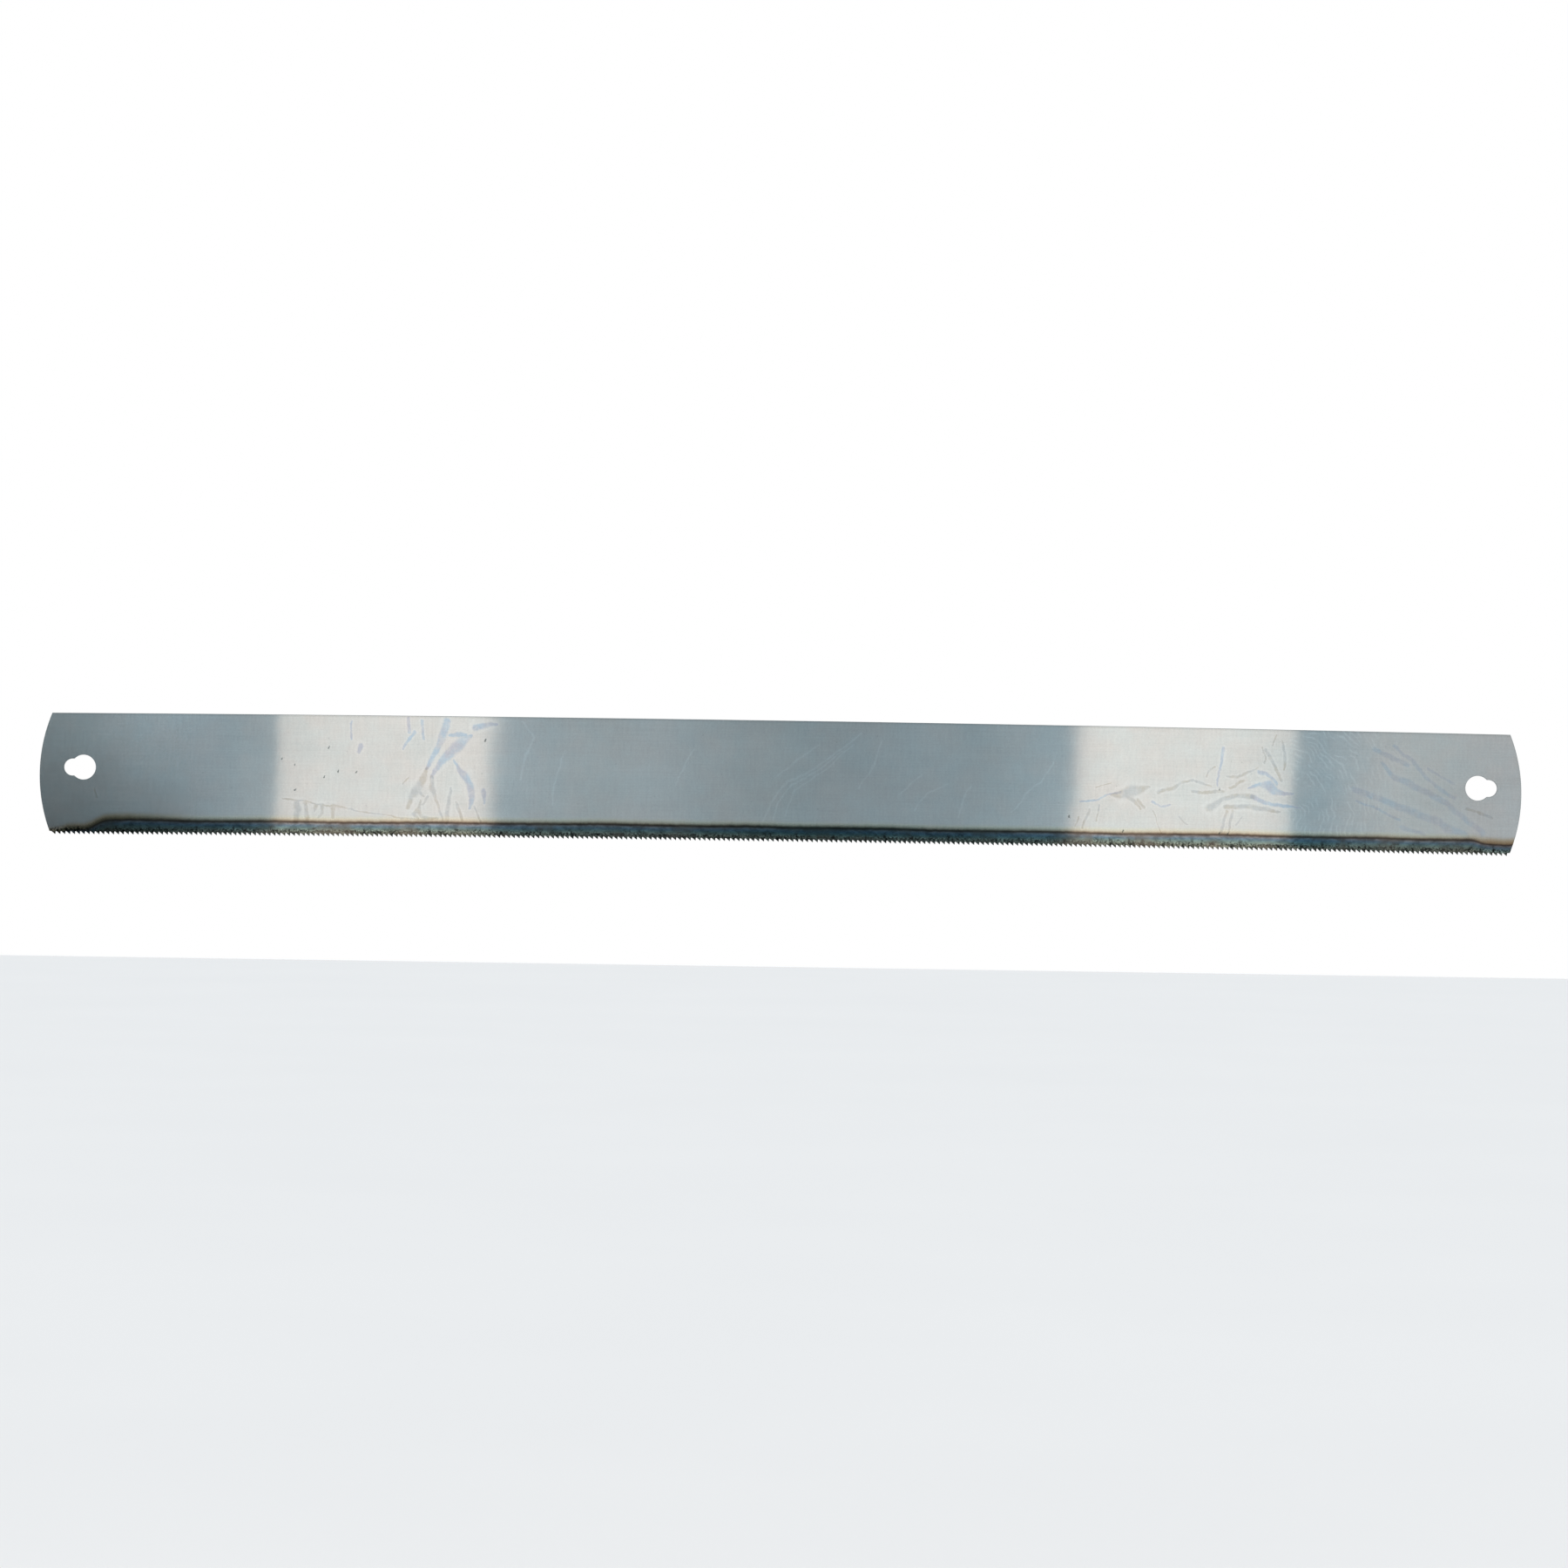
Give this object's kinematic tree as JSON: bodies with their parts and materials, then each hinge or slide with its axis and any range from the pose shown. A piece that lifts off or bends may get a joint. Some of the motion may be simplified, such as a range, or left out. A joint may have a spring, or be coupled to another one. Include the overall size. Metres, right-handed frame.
{
  "type": "frame saw blade",
  "caption": "Flat steel frame saw blade, teeth down, with fine set teeth on a heat-tinted hardened edge, bowed ends and a keyhole near each end for the frame's pins.",
  "frame": {"origin": "on the axis of the left frame pin, where it seats in the neck of the left keyhole, half-way through the steel", "axes": "+X along the blade, the way the teeth cut; +Z from the teeth up to the back edge; -Y and +Y out of the two flat faces"},
  "size_m": [0.55, 0.001, 0.045],
  "materials": {
    "blade_steel": "bright rolled spring steel, grey-blue, with a thin oil film",
    "hardened_steel": "heat-tinted hardened steel: straw and brown line above, dark blue to teal below, blotched dark at the teeth"
  },
  "bodies": {
    "root": {"blade_body": "blade_steel", "tooth_edge": "hardened_steel"}
  },
  "joints": []
}
